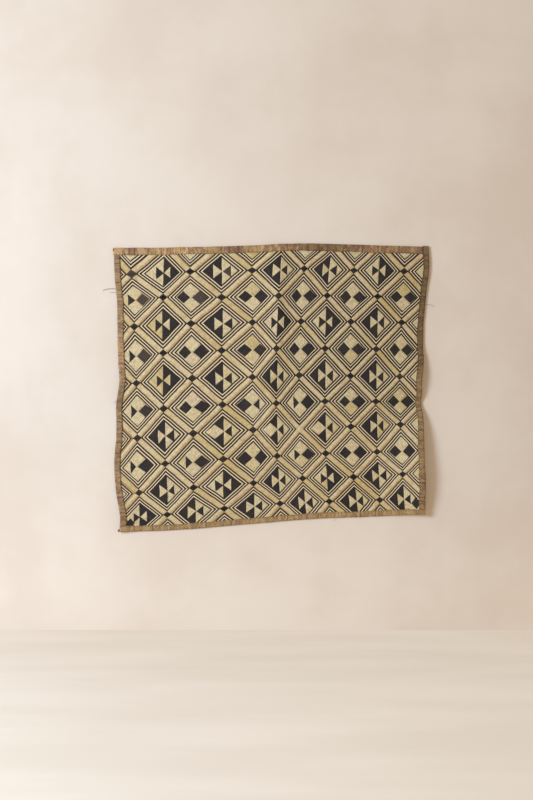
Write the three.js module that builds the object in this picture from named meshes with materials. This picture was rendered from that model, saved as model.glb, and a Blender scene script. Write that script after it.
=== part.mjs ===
// A kuba raffia cloth that hangs against a wall: one embroidered raffia panel, with a folded
// strip of plain raffia cloth sewn round each of its four edges.
//
// Millimetres, +Z up. The wall is the plane Y = 0 and the cloth stands off it towards -Y.
// The origin is on the wall, at the middle of the cloth's top edge, where it is held.

import * as THREE from 'three';
import { mergeVertices } from 'three/addons/utils/BufferGeometryUtils.js';

// Driving dimensions of the cloth and its strips
const PANEL_THICKNESS = 1.8;
const STRIP_THICKNESS = 0.9;
const CLEARANCE = 0.35;
const TOP_STRIP_WIDTH = 13;
const RIGHT_STRIP_WIDTH = 11.5;
const BOTTOM_STRIP_WIDTH = 11;
const LEFT_STRIP_WIDTH = 12;
const TOP_STRIP_OVERHANG = 1.2;
const RIGHT_STRIP_OVERHANG = 0.6;
const BOTTOM_STRIP_OVERHANG = 2.6;

// How far the cloth stands off the wall: at its flattest, and in the middle of its soft belly
const FLAT_STAND = 2.7;
const BELLY_RISE = 4;

// The storage creases: a ridge down the middle, and a shallow trough across at mid height
const RIDGE_LEFT_REACH = 62;
const RIDGE_RIGHT_REACH = 36;
const TROUGH_DEPTH = 2.2;
const TROUGH_REACH = 30;
const TROUGH_LEFT = 0.465;
const TROUGH_RIGHT = 0.585;

// How far in from a side edge its lift fades out
const LEFT_LIFT_REACH = 60;
const RIGHT_LIFT_REACH = 105;

// How finely the sheet and the strips follow the folds
const COLUMNS = 36;
const ROWS = 36;
const FOLD_SEGMENTS = 2;
const NORMAL_STEP = 0.002;

// The outline, hand woven and so uneven. The side edges give x against the share of the way
// down, and the top and bottom edges give z against the share of the way across.
const LEFT_EDGE = [
  { down: 0.0, x: -305 },
  { down: 0.1, x: -304 },
  { down: 0.2, x: -299.5 },
  { down: 0.32, x: -299 },
  { down: 0.4, x: -297.3 },
  { down: 0.47, x: -295.2 },
  { down: 0.55, x: -301.4 },
  { down: 0.65, x: -301.2 },
  { down: 0.75, x: -305.2 },
  { down: 0.82, x: -304.2 },
  { down: 0.88, x: -300.2 },
  { down: 0.94, x: -294.4 },
  { down: 1.0, x: -294.4 },
];
const RIGHT_EDGE = [
  { down: 0.0, x: 304.5 },
  { down: 0.1, x: 304.8 },
  { down: 0.16, x: 300.4 },
  { down: 0.25, x: 295.8 },
  { down: 0.35, x: 293.7 },
  { down: 0.43, x: 294.1 },
  { down: 0.5, x: 289.6 },
  { down: 0.55, x: 290.2 },
  { down: 0.585, x: 288.8 },
  { down: 0.64, x: 292.6 },
  { down: 0.78, x: 293.8 },
  { down: 0.88, x: 296.3 },
  { down: 1.0, x: 296.4 },
];
const TOP_EDGE = [
  { across: 0.0, z: -7.2 },
  { across: 0.16, z: -6.6 },
  { across: 0.31, z: -3.5 },
  { across: 0.46, z: -0.3 },
  { across: 0.58, z: 2.9 },
  { across: 0.7, z: 1.6 },
  { across: 0.85, z: -1.4 },
  { across: 1.0, z: -3.4 },
];
const BOTTOM_EDGE = [
  { across: 0.0, z: -557 },
  { across: 0.15, z: -553.8 },
  { across: 0.25, z: -550.4 },
  { across: 0.4, z: -542 },
  { across: 0.55, z: -533.8 },
  { across: 0.65, z: -529.8 },
  { across: 0.8, z: -526.8 },
  { across: 0.95, z: -523.4 },
  { across: 1.0, z: -523.8 },
];

// How far each side edge lifts off the wall, and where the middle ridge runs and how high
const LEFT_LIFT = [
  { down: 0.0, lift: 0 },
  { down: 0.2, lift: 1 },
  { down: 0.38, lift: 1.5 },
  { down: 0.47, lift: 6 },
  { down: 0.56, lift: 1 },
  { down: 0.75, lift: 0 },
  { down: 0.86, lift: 3 },
  { down: 0.94, lift: 8 },
  { down: 1.0, lift: 5 },
];
const RIGHT_LIFT = [
  { down: 0.0, lift: 0 },
  { down: 0.06, lift: 1.5 },
  { down: 0.16, lift: 0.3 },
  { down: 0.36, lift: 0.8 },
  { down: 0.43, lift: 6 },
  { down: 0.49, lift: 11 },
  { down: 0.545, lift: 6 },
  { down: 0.585, lift: 0.2 },
  { down: 0.635, lift: 8 },
  { down: 0.7, lift: 16 },
  { down: 0.82, lift: 22 },
  { down: 0.92, lift: 18 },
  { down: 1.0, lift: 10 },
];
const MIDDLE_RIDGE = [
  { down: 0.0, x: 12, rise: 3.5 },
  { down: 0.1, x: 13, rise: 5.5 },
  { down: 0.3, x: 14, rise: 6.5 },
  { down: 0.4, x: 10, rise: 6 },
  { down: 0.52, x: -2, rise: 4.5 },
  { down: 0.75, x: 3, rise: 2.5 },
  { down: 1.0, x: 8, rise: 0.8 },
];

const PANEL_COLOUR = 0xb5a279;
const STRIP_COLOUR = 0x8d714f;

// A smooth curve through a table, value against place, its slope at a row set by the rows beside it
function smoothTable(rows, placeKey, valueKey) {
  const places = rows.map((row) => row[placeKey]);
  const values = rows.map((row) => row[valueKey]);
  const last = rows.length - 1;
  const slopes = rows.map((_, i) => {
    const before = Math.max(i - 1, 0);
    const after = Math.min(i + 1, last);
    return (values[after] - values[before]) / (places[after] - places[before]);
  });
  return (place) => {
    let i = 0;
    while (i < last - 1 && place > places[i + 1]) {
      i += 1;
    }
    const span = places[i + 1] - places[i];
    const q = (place - places[i]) / span;
    const next = q * q * (3 - 2 * q);
    return (
      (1 - next) * values[i] +
      next * values[i + 1] +
      span * q * (1 - q) * ((1 - q) * slopes[i] - q * slopes[i + 1])
    );
  };
}

const leftX = smoothTable(LEFT_EDGE, 'down', 'x');
const rightX = smoothTable(RIGHT_EDGE, 'down', 'x');
const topZ = smoothTable(TOP_EDGE, 'across', 'z');
const bottomZ = smoothTable(BOTTOM_EDGE, 'across', 'z');
const leftLift = smoothTable(LEFT_LIFT, 'down', 'lift');
const rightLift = smoothTable(RIGHT_LIFT, 'down', 'lift');
const ridgeX = smoothTable(MIDDLE_RIDGE, 'down', 'x');
const ridgeRise = smoothTable(MIDDLE_RIDGE, 'down', 'rise');

const mix = (a, b, share) => a + (b - a) * share;

// What is left of a lift or a crease at a distance from its line: 1 on it, 0 at its reach
const fade = (distance, reach) => Math.max(0, 1 - distance / reach) ** 2;

const widthAt = (down) => rightX(down) - leftX(down);
const heightAt = (across) => topZ(across) - bottomZ(across);

// The cloth's stand off the wall, at its middle layer
function standAt(across, down, x) {
  const inside = Math.max(0, Math.sin(Math.PI * across));
  const belly = BELLY_RISE * inside * Math.max(0, Math.sin(Math.PI * down));
  const troughGap = Math.abs(down - mix(TROUGH_LEFT, TROUGH_RIGHT, across)) * heightAt(across);
  const trough = TROUGH_DEPTH * inside * fade(troughGap, TROUGH_REACH);
  const ridgeGap = x - ridgeX(down);
  const ridgeReach = ridgeGap < 0 ? RIDGE_LEFT_REACH : RIDGE_RIGHT_REACH;
  const ridge = ridgeRise(down) * fade(Math.abs(ridgeGap), ridgeReach);
  const left = leftLift(down) * fade(Math.abs(across) * widthAt(down), LEFT_LIFT_REACH);
  const right = rightLift(down) * fade(Math.abs(1 - across) * widthAt(down), RIGHT_LIFT_REACH);
  return FLAT_STAND + belly - trough + ridge + left + right;
}

// The cloth's middle layer: its edges blended from side to side and from top to bottom, and
// stood off the wall
function clothSurface(across, down) {
  const x = mix(leftX(down), rightX(down), across);
  const z = mix(topZ(across), bottomZ(across), down);
  return new THREE.Vector3(x, -standAt(across, down, x), z);
}

// The direction out of the cloth's face at a place on it
function clothNormal(across, down) {
  const along = clothSurface(across + NORMAL_STEP, down).sub(clothSurface(across - NORMAL_STEP, down));
  const up = clothSurface(across, down - NORMAL_STEP).sub(clothSurface(across, down + NORMAL_STEP));
  return along.cross(up).normalize();
}

// A line of the sheet is a share of the way across or down, and a shift from there in mm
const line = (share, shift = 0) => ({ share, shift });

// The share across of a column line. Half of the lines lie on each side of the middle ridge.
function ridgedShare(share, down) {
  const ridge = (ridgeX(down) - leftX(down)) / widthAt(down);
  return share < 0.5 ? 2 * share * ridge : mix(ridge, 1, 2 * share - 1);
}

// The point on a column line and a row line, at a height out from the middle layer
function clothPoint(column, row, height) {
  const across = ridgedShare(column.share, row.share) + column.shift / widthAt(row.share);
  const down = row.share + row.shift / heightAt(across);
  return clothSurface(across, down).addScaledVector(clothNormal(across, down), height);
}

// The strips' fold: its two radii, and the place of the panel's edge inside it
const FOLD_INSIDE = PANEL_THICKNESS / 2 + CLEARANCE;
const FOLD_OUTSIDE = FOLD_INSIDE + STRIP_THICKNESS;
const PANEL_INSET = FOLD_OUTSIDE - CLEARANCE;

// The lines inside the four strips, which the panel and the strips share
const shares = (count) => Array.from({ length: count - 1 }, (_, i) => (i + 1) / count);
const innerColumns = [
  line(0, LEFT_STRIP_WIDTH),
  ...shares(COLUMNS).map((share) => line(share)),
  line(1, -RIGHT_STRIP_WIDTH),
];
const innerRows = [
  line(0, TOP_STRIP_WIDTH),
  ...shares(ROWS).map((share) => line(share)),
  line(1, -BOTTOM_STRIP_WIDTH),
];

// Moves a geometry's vertices to their places on the cloth and joins the ones that meet
function wrapOnCloth(geometry, place) {
  const position = geometry.attributes.position;
  for (let i = 0; i < position.count; i += 1) {
    const point = place(position.getX(i), position.getY(i), position.getZ(i));
    position.setXYZ(i, point.x, point.y, point.z);
  }
  geometry.deleteAttribute('normal');
  geometry.deleteAttribute('uv');
  const joined = mergeVertices(geometry);
  joined.computeVertexNormals();
  return joined;
}

function clothMesh(name, geometry, colour) {
  const material = new THREE.MeshStandardMaterial({ color: colour, roughness: 0.9, metalness: 0 });
  const mesh = new THREE.Mesh(geometry, material);
  mesh.name = name;
  return mesh;
}

// The embroidered panel: a box of many cells, its corners laid on the cloth's lines
function panel() {
  const columns = [line(0, PANEL_INSET), ...innerColumns, line(1, -PANEL_INSET)];
  const rows = [line(0, PANEL_INSET), ...innerRows, line(1, -PANEL_INSET)];
  const lastColumn = columns.length - 1;
  const lastRow = rows.length - 1;
  const box = new THREE.BoxGeometry(1, 1, 1, lastColumn, lastRow, 1);
  const wrapped = wrapOnCloth(box, (x, y, z) => {
    const column = columns[Math.round((0.5 + x) * lastColumn)];
    const row = rows[Math.round((0.5 - y) * lastRow)];
    return clothPoint(column, row, z * PANEL_THICKNESS);
  });
  return clothMesh('panel', wrapped, PANEL_COLOUR);
}

// The section of a folded strip: x in from the cloth's edge, y out from its middle layer
function stripSection(width) {
  const section = new THREE.Shape();
  section.moveTo(width, FOLD_INSIDE);
  section.lineTo(FOLD_OUTSIDE, FOLD_INSIDE);
  section.absarc(FOLD_OUTSIDE, 0, FOLD_INSIDE, Math.PI / 2, Math.PI * 1.5, false);
  section.lineTo(width, -FOLD_INSIDE);
  section.lineTo(width, -FOLD_OUTSIDE);
  section.lineTo(FOLD_OUTSIDE, -FOLD_OUTSIDE);
  section.absarc(FOLD_OUTSIDE, 0, FOLD_OUTSIDE, Math.PI * 1.5, Math.PI / 2, true);
  section.lineTo(width, FOLD_OUTSIDE);
  return section;
}

// A folded strip along the lines of one edge. They run anticlockwise round the cloth's face.
function strip(name, width, lines, place) {
  const steps = lines.length - 1;
  const straight = new THREE.ExtrudeGeometry(stripSection(width), {
    depth: 1,
    steps,
    bevelEnabled: false,
    curveSegments: FOLD_SEGMENTS,
  });
  const wrapped = wrapOnCloth(straight, (inset, height, along) =>
    place(lines[Math.round(along * steps)], inset, height),
  );
  return clothMesh(name, wrapped, STRIP_COLOUR);
}

// The top and bottom strips close the left corners, and the right strip closes the top one
function strips() {
  const rightEnd = line(1, -RIGHT_STRIP_WIDTH - CLEARANCE);
  const topLines = [line(0, -TOP_STRIP_OVERHANG), line(0), ...innerColumns.slice(0, -1), rightEnd];
  const bottomLines = [line(0, -BOTTOM_STRIP_OVERHANG), line(0), ...innerColumns, line(1)];
  const underTop = line(0, TOP_STRIP_WIDTH + CLEARANCE);
  const overBottom = line(1, -BOTTOM_STRIP_WIDTH - CLEARANCE);
  const leftLines = [underTop, ...innerRows.slice(1, -1), overBottom];
  const rightLines = [line(0, -RIGHT_STRIP_OVERHANG), line(0), ...innerRows.slice(0, -1), overBottom];
  return [
    strip('binding_top', TOP_STRIP_WIDTH, topLines.reverse(), (column, inset, height) =>
      clothPoint(column, line(0, inset), height),
    ),
    strip('binding_right', RIGHT_STRIP_WIDTH, rightLines.reverse(), (row, inset, height) =>
      clothPoint(line(1, -inset), row, height),
    ),
    strip('binding_bottom', BOTTOM_STRIP_WIDTH, bottomLines, (column, inset, height) =>
      clothPoint(column, line(1, -inset), height),
    ),
    strip('binding_left', LEFT_STRIP_WIDTH, leftLines, (row, inset, height) =>
      clothPoint(line(0, inset), row, height),
    ),
  ];
}

const cloth = new THREE.Group();
cloth.add(panel(), ...strips());

export default cloth;
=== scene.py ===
# A kuba raffia cloth that hangs against a wall. Its woven ground is embroidered all over with
# raised lines, hatched bands and cut pile in a lattice of diamonds, and plain raffia strips are
# folded and sewn round its four edges.
#
# The cloth's own measures are in millimetres. Each mesh is put in metres when it is hung.

import math

import bmesh
import bpy
import numpy as np
from mathutils import Matrix, Vector


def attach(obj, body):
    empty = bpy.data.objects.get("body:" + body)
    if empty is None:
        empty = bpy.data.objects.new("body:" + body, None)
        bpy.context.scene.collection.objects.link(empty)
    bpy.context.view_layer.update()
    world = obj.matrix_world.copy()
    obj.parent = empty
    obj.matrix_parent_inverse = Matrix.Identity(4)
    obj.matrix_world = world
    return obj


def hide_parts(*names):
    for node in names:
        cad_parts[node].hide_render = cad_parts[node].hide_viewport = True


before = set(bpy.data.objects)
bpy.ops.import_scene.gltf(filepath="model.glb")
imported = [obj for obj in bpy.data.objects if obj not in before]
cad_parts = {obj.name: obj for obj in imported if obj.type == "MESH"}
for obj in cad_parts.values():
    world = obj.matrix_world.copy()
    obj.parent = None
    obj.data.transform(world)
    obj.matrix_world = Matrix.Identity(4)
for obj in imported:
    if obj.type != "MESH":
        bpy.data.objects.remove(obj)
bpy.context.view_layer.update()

METRES = 0.001

# The cloth as it hangs, the same as its solids. The side edges give x against the share of the
# way down, and the top and bottom edges give z against the share of the way across.
LEFT_EDGE = [
    (0.0, -305), (0.1, -304), (0.2, -299.5), (0.32, -299), (0.4, -297.3), (0.47, -295.2),
    (0.55, -301.4), (0.65, -301.2), (0.75, -305.2), (0.82, -304.2), (0.88, -300.2),
    (0.94, -294.4), (1.0, -294.4),
]
RIGHT_EDGE = [
    (0.0, 304.5), (0.1, 304.8), (0.16, 300.4), (0.25, 295.8), (0.35, 293.7), (0.43, 294.1),
    (0.5, 289.6), (0.55, 290.2), (0.585, 288.8), (0.64, 292.6), (0.78, 293.8), (0.88, 296.3),
    (1.0, 296.4),
]
TOP_EDGE = [
    (0.0, -7.2), (0.16, -6.6), (0.31, -3.5), (0.46, -0.3), (0.58, 2.9), (0.7, 1.6),
    (0.85, -1.4), (1.0, -3.4),
]
BOTTOM_EDGE = [
    (0.0, -557), (0.15, -553.8), (0.25, -550.4), (0.4, -542), (0.55, -533.8), (0.65, -529.8),
    (0.8, -526.8), (0.95, -523.4), (1.0, -523.8),
]

# How far each side edge lifts off the wall, and where the middle ridge runs and how high it is
LEFT_LIFT = [
    (0.0, 0), (0.2, 1), (0.38, 1.5), (0.47, 6), (0.56, 1), (0.75, 0), (0.86, 3), (0.94, 8),
    (1.0, 5),
]
RIGHT_LIFT = [
    (0.0, 0), (0.06, 1.5), (0.16, 0.3), (0.36, 0.8), (0.43, 6), (0.49, 11), (0.545, 6),
    (0.585, 0.2), (0.635, 8), (0.7, 16), (0.82, 22), (0.92, 18), (1.0, 10),
]
RIDGE_X = [(0.0, 12), (0.1, 13), (0.3, 14), (0.4, 10), (0.52, -2), (0.75, 3), (1.0, 8)]
RIDGE_RISE = [(0.0, 3.5), (0.1, 5.5), (0.3, 6.5), (0.4, 6), (0.52, 4.5), (0.75, 2.5), (1.0, 0.8)]

# How far the cloth stands off the wall where it hangs flat, and how high and wide its belly, its
# ridge, its slanting trough and its lifted edges are
FLAT_STAND = 2.7
BELLY_RISE = 4
RIDGE_LEFT_REACH = 62
RIDGE_RIGHT_REACH = 36
TROUGH_DEPTH = 2.2
TROUGH_REACH = 30
LEFT_LIFT_REACH = 60
RIGHT_LIFT_REACH = 105

# The shares of the way down at which the trough meets the left and the right edge
TROUGH_LEFT = 0.465
TROUGH_RIGHT = 0.585

# The creases are rounded over this far, and the cloth has slight ripples of its own
CREASE_ROUNDING = 2.5
RIPPLE_HEIGHT = 0.45
RIPPLE_SIZE = 38
RIPPLE_SEED = 5

# The step across and down, as a share, that the way the cloth's face looks is measured over
NORMAL_STEP = 0.002

# The size that the cloth is laid out flat at, to be trimmed, before it is hung
FLAT_WIDTH = 600
FLAT_HEIGHT = 540

# The random bumps repeat after this many
NOISE_CELLS = 61

# The rounds after which the shares across and down of a place have settled
SHARE_ROUNDS = 12


def smooth_noise(x, y, size, seed):
    """Smooth random values from -1 to 1 over a plane, with bumps of that size."""
    table = np.random.default_rng(seed).uniform(-1, 1, (NOISE_CELLS, NOISE_CELLS))
    x = np.asarray(x, float) / size
    y = np.asarray(y, float) / size
    i = np.floor(x).astype(int)
    j = np.floor(y).astype(int)
    u = x - i
    v = y - j
    u = u * u * (3 - 2 * u)
    v = v * v * (3 - 2 * v)
    left = i % NOISE_CELLS
    right = (i + 1) % NOISE_CELLS
    low = j % NOISE_CELLS
    high = (j + 1) % NOISE_CELLS
    near = table[left, low] * (1 - u) + table[right, low] * u
    far = table[left, high] * (1 - u) + table[right, high] * u
    return near * (1 - v) + far * v


def smooth_curve(rows):
    """A smooth curve through rows of (place, value), its slope at a row set by its neighbours."""
    places, values = np.array(rows, float).T
    slopes = np.empty_like(values)
    slopes[1:-1] = (values[2:] - values[:-2]) / (places[2:] - places[:-2])
    slopes[0] = (values[1] - values[0]) / (places[1] - places[0])
    slopes[-1] = (values[-1] - values[-2]) / (places[-1] - places[-2])

    def value_at(place):
        place = np.clip(place, places[0], places[-1])
        i = np.clip(np.searchsorted(places, place, side="right") - 1, 0, len(places) - 2)
        span = places[i + 1] - places[i]
        q = (place - places[i]) / span
        following = q * q * (3 - 2 * q)
        bend = span * q * (1 - q) * ((1 - q) * slopes[i] - q * slopes[i + 1])
        return (1 - following) * values[i] + following * values[i + 1] + bend

    return value_at


left_x = smooth_curve(LEFT_EDGE)
right_x = smooth_curve(RIGHT_EDGE)
top_z = smooth_curve(TOP_EDGE)
bottom_z = smooth_curve(BOTTOM_EDGE)
left_lift = smooth_curve(LEFT_LIFT)
right_lift = smooth_curve(RIGHT_LIFT)
ridge_x = smooth_curve(RIDGE_X)
ridge_rise = smooth_curve(RIDGE_RISE)


def width_at(down):
    return right_x(down) - left_x(down)


def height_at(across):
    return top_z(across) - bottom_z(across)


def fade(distance, reach):
    """What is left of a lift or crease at a distance from its line: 1 on it, 0 at its reach."""
    return np.maximum(0, 1 - distance / reach) ** 2


def rounded(distance):
    """A distance from a crease, with the crease itself rounded off."""
    return np.sqrt(distance**2 + CREASE_ROUNDING**2) - CREASE_ROUNDING


def stand_at(across, down, x):
    """How far the cloth's middle layer stands off the wall."""
    inside = np.maximum(0, np.sin(math.pi * np.clip(across, 0, 1)))
    within = inside * np.maximum(0, np.sin(math.pi * np.clip(down, 0, 1)))
    trough_line = TROUGH_LEFT + (TROUGH_RIGHT - TROUGH_LEFT) * across
    trough_gap = rounded((down - trough_line) * height_at(across))
    trough = TROUGH_DEPTH * inside * fade(trough_gap, TROUGH_REACH)
    ridge_gap = x - ridge_x(down)
    ridge_reach = np.where(ridge_gap < 0, RIDGE_LEFT_REACH, RIDGE_RIGHT_REACH)
    ridge = ridge_rise(down) * fade(rounded(ridge_gap), ridge_reach)
    left = left_lift(down) * fade(np.abs(across) * width_at(down), LEFT_LIFT_REACH)
    right = right_lift(down) * fade(np.abs(1 - across) * width_at(down), RIGHT_LIFT_REACH)
    bumps = smooth_noise(across * FLAT_WIDTH, down * FLAT_HEIGHT, RIPPLE_SIZE, RIPPLE_SEED)
    ripple = RIPPLE_HEIGHT * within * bumps
    return FLAT_STAND + BELLY_RISE * within - trough + ridge + left + right + ripple


def cloth_surface(across, down):
    """Points of the cloth's middle layer, in millimetres."""
    x = left_x(down) + width_at(down) * across
    z = top_z(across) - height_at(across) * down
    return np.stack([x, -stand_at(across, down, x), z], axis=-1)


def cloth_point(across, down, height):
    """Points at a height out from the cloth's middle layer, along the way that its face looks."""
    along = cloth_surface(across + NORMAL_STEP, down) - cloth_surface(across - NORMAL_STEP, down)
    up = cloth_surface(across, down - NORMAL_STEP) - cloth_surface(across, down + NORMAL_STEP)
    normal = np.cross(along, up)
    normal /= np.linalg.norm(normal, axis=-1, keepdims=True)
    return cloth_surface(across, down) + normal * np.asarray(height)[..., None]


def shares_of(x, z):
    """The shares across and down of a place on the cloth's face."""
    across = np.full_like(x, 0.5)
    down = np.full_like(z, 0.5)
    for _ in range(SHARE_ROUNDS):
        down = (top_z(across) - z) / height_at(across)
        across = (x - left_x(down)) / width_at(down)
    return across, down


# The lattice. Its nodes are the dark crossings, where column and row add up to an odd number,
# and the diamonds' centres, where they add up to an even one.
FIRST_COLUMN = -1
LAST_COLUMN = 13
FIRST_ROW = -2
LAST_ROW = 11

# x of columns 0 to 12 near their top, middle and bottom
COLUMN_X = [
    (-316.1, -308.3, -304.0),
    (-269.6, -260.9, -255.3),
    (-208.4, -207.5, -200.6),
    (-156.7, -152.4, -149.8),
    (-96.4, -94.2, -90.8),
    (-36.9, -36.1, -34.8),
    (13.5, 9.2, 16.1),
    (63.0, 53.5, 60.0),
    (107.4, 102.2, 110.8),
    (159.1, 151.3, 158.2),
    (204.3, 200.9, 208.6),
    (255.2, 247.4, 251.4),
    (301.3, 292.6, 298.0),
]

# How far the centres in column 1 lie right of the column's curve and below the row, by row
FIRST_CENTRES = {1: (4.6, 4.6), 3: (3.4, 2.6), 5: (1.3, 0.2), 7: (-3.0, 1.2), 9: (2.0, -1.0)}

# z of rows -1 to 10 at their crossings, which are in the odd columns of an even row and in the
# even columns of an odd row
ROW_Z = [
    (-2.7, -2.7, -2.7, -2.7, -2.7),
    (-59.1, -53.5, -51.8, -48.4, -51.4, -52.7),
    (-103.5, -103.1, -100.9, -100.5, -102.2),
    (-159.1, -153.1, -151.8, -150.0, -150.0, -152.2),
    (-211.2, -205.6, -202.2, -201.3, -202.6),
    (-268.1, -259.0, -257.3, -253.0, -255.2, -256.0),
    (-317.6, -310.3, -306.9, -303.8, -303.8),
    (-373.6, -365.0, -358.5, -356.4, -352.1, -347.8),
    (-424.0, -415.0, -408.1, -403.8, -400.8),
    (-480.5, -469.7, -461.1, -451.2, -449.4, -442.6),
    (-521.4, -510.2, -499.4, -496.4, -493.0),
    (-572.0, -562.0, -553.0, -547.0, -543.0, -540.0),
]

# How far each node and each line wanders at random, and how long the lines' bends are
NODE_WANDER = 0.7
LINE_WANDER = 0.45
LINE_BEND_LENGTH = 13


def straight_through(places, values, place):
    """A value on the straight lines through a table, which run on past its ends."""
    i = int(np.clip(np.searchsorted(places, place) - 1, 0, len(places) - 2))
    share = (place - places[i]) / (places[i + 1] - places[i])
    return values[i] + (values[i + 1] - values[i]) * share


def lattice_nodes():
    """x and z of every node, first index the column and second the row."""
    columns = np.arange(FIRST_COLUMN, LAST_COLUMN + 1)
    rows = np.arange(FIRST_ROW, LAST_ROW + 1)
    x = np.empty((len(columns), len(rows)))
    z = np.empty_like(x)
    for number, values in enumerate(COLUMN_X):
        first = 0 if number % 2 else 1
        curve = np.polyfit([first, first + 4, first + 8], values, 2)
        x[number - FIRST_COLUMN] = np.polyval(curve, rows)
    x[0] = 2 * x[1] - x[2]
    x[-1] = 2 * x[-2] - x[-3]
    for number, values in enumerate(ROW_Z, start=-1):
        first = 2 if number % 2 else 1
        crossings = first + 2 * np.arange(len(values))
        for i, column in enumerate(columns):
            z[i, number - FIRST_ROW] = straight_through(crossings, values, column)
    for row, (aside, lower) in FIRST_CENTRES.items():
        x[1 - FIRST_COLUMN, row - FIRST_ROW] += aside
        z[1 - FIRST_COLUMN, row - FIRST_ROW] -= lower
    z[:, 0] = 2 * z[:, 1] - z[:, 2]
    z[:, -1] = 2 * z[:, -2] - z[:, -3]
    random = np.random.default_rng(11)
    wander = random.uniform(-NODE_WANDER, NODE_WANDER, (len(columns), len(rows), 2))
    return np.stack([x, z], axis=-1) + wander


NODES = lattice_nodes()

# One step of the lattice in the flat space that the embroidery is made in
PITCH = 52


def lattice_place(a, b):
    """x and z on the cloth's face of places in the lattice, a in columns and b in rows.

    The seam between two crossings halves each square of the lattice into two flat triangles,
    so the lines of a diamond run straight."""
    column = np.clip(np.floor(a).astype(int), FIRST_COLUMN, LAST_COLUMN - 1)
    row = np.clip(np.floor(b).astype(int), FIRST_ROW, LAST_ROW - 1)
    u = (a - column)[:, None]
    v = (b - row)[:, None]
    i = column - FIRST_COLUMN
    j = row - FIRST_ROW
    here = NODES[i, j]
    right = NODES[i + 1, j]
    below = NODES[i, j + 1]
    far = NODES[i + 1, j + 1]
    even_near = here + u * (right - here) + v * (below - here)
    even_far = far + (1 - u) * (below - far) + (1 - v) * (right - far)
    odd_near = right + (1 - u) * (here - right) + v * (far - right)
    odd_far = below + u * (far - below) + (1 - v) * (here - below)
    even = ((column + row) % 2 == 0)[:, None]
    in_even = np.where(u + v < 1, even_near, even_far)
    in_odd = np.where(v < u, odd_near, odd_far)
    point = np.where(even, in_even, in_odd)
    x = point[:, 0] + LINE_WANDER * smooth_noise(a * PITCH, b * PITCH, LINE_BEND_LENGTH, 21)
    z = point[:, 1] + LINE_WANDER * smooth_noise(a * PITCH, b * PITCH, LINE_BEND_LENGTH, 22)
    return x, z


def node_place(column, row):
    """x and y of a place in the flat space, from its column and row."""
    return column * PITCH, -row * PITCH


def mesh_points(mesh):
    points = np.empty(len(mesh.vertices) * 3)
    mesh.vertices.foreach_get("co", points)
    return points.reshape(-1, 3)


def set_mesh_points(mesh, points):
    mesh.vertices.foreach_set("co", np.ascontiguousarray(points, dtype=np.float32).ravel())
    mesh.update()


def corner_points(mesh):
    """The number of the point at every corner of every face."""
    corners = np.empty(len(mesh.loops), int)
    mesh.loops.foreach_get("vertex_index", corners)
    return corners


def add_stitch_map(mesh, u, v):
    layer = mesh.uv_layers.new(name="stitches")
    layer.data.foreach_set("uv", np.column_stack([u, v]).astype(np.float32).ravel())


def map_stitches(mesh, diagonal):
    """A UV map in millimetres. Diagonal stitches have u along their line and v across it."""
    points = mesh_points(mesh)
    corners = corner_points(mesh)
    totals = np.empty(len(mesh.polygons), int)
    mesh.polygons.foreach_get("loop_total", totals)
    x = points[corners, 0]
    y = points[corners, 1]
    height = points[corners, 2]
    if diagonal:
        starts = np.cumsum(totals) - totals
        middle_a = np.add.reduceat(x, starts) / totals / PITCH
        middle_b = -np.add.reduceat(y, starts) / totals / PITCH
        parity = (np.floor(middle_a) + np.floor(middle_b)) % 2
        lean = np.repeat(np.where(parity == 0, 1.0, -1.0), totals)
        u = (x + lean * y) / math.sqrt(2)
        v = (x - lean * y) / math.sqrt(2) + height
    else:
        u = x
        v = y + height
    add_stitch_map(mesh, u, v)


def extruded(bm, faces, keep=True):
    """Extrudes faces in their place. Gives the new points and the new faces."""
    new = bmesh.ops.extrude_face_region(bm, geom=faces, use_keep_orig=keep)["geom"]
    new_points = [g for g in new if isinstance(g, bmesh.types.BMVert)]
    new_faces = [g for g in new if isinstance(g, bmesh.types.BMFace)]
    return new_points, new_faces


def face_outward(mesh):
    """Turns the faces of a closed mesh outward, after its points have been moved."""
    bm = bmesh.new()
    bm.from_mesh(mesh)
    bmesh.ops.recalc_face_normals(bm, faces=bm.faces)
    bm.to_mesh(mesh)
    bm.free()
    return mesh


# The sewn edges are drawn in from the solids' edges by this much, by the share along each
DRAWN_IN = {
    "top": smooth_curve([(0.0, 0.3), (0.2, 0.6), (0.33, 1.9), (0.6, 2.1), (0.8, 1.6), (1.0, 2.1)]),
    "right": smooth_curve([(0.0, 1.6), (0.2, 1.2), (0.36, 2.0), (0.5, 0.6), (0.62, 0.9), (1.0, 2.1)]),
    "bottom": smooth_curve([(0.0, 2.6), (0.06, 1.6), (0.3, 1.5), (0.5, 0.4), (0.8, 0.6), (1.0, 1.8)]),
    "left": smooth_curve([(0.0, 1.2), (0.2, 2.0), (0.55, 2.2), (0.75, 2.0), (0.9, 3.1), (1.0, 2.2)]),
}


# How far inside the cloth's edges the ground and the embroidery end, and how much farther inside
# they do at the left and the top
GROUND_INSET = 1.9
EMBROIDERY_INSET = 7.5
FARTHER_LEFT = 1.5
FARTHER_TOP = 1


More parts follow.
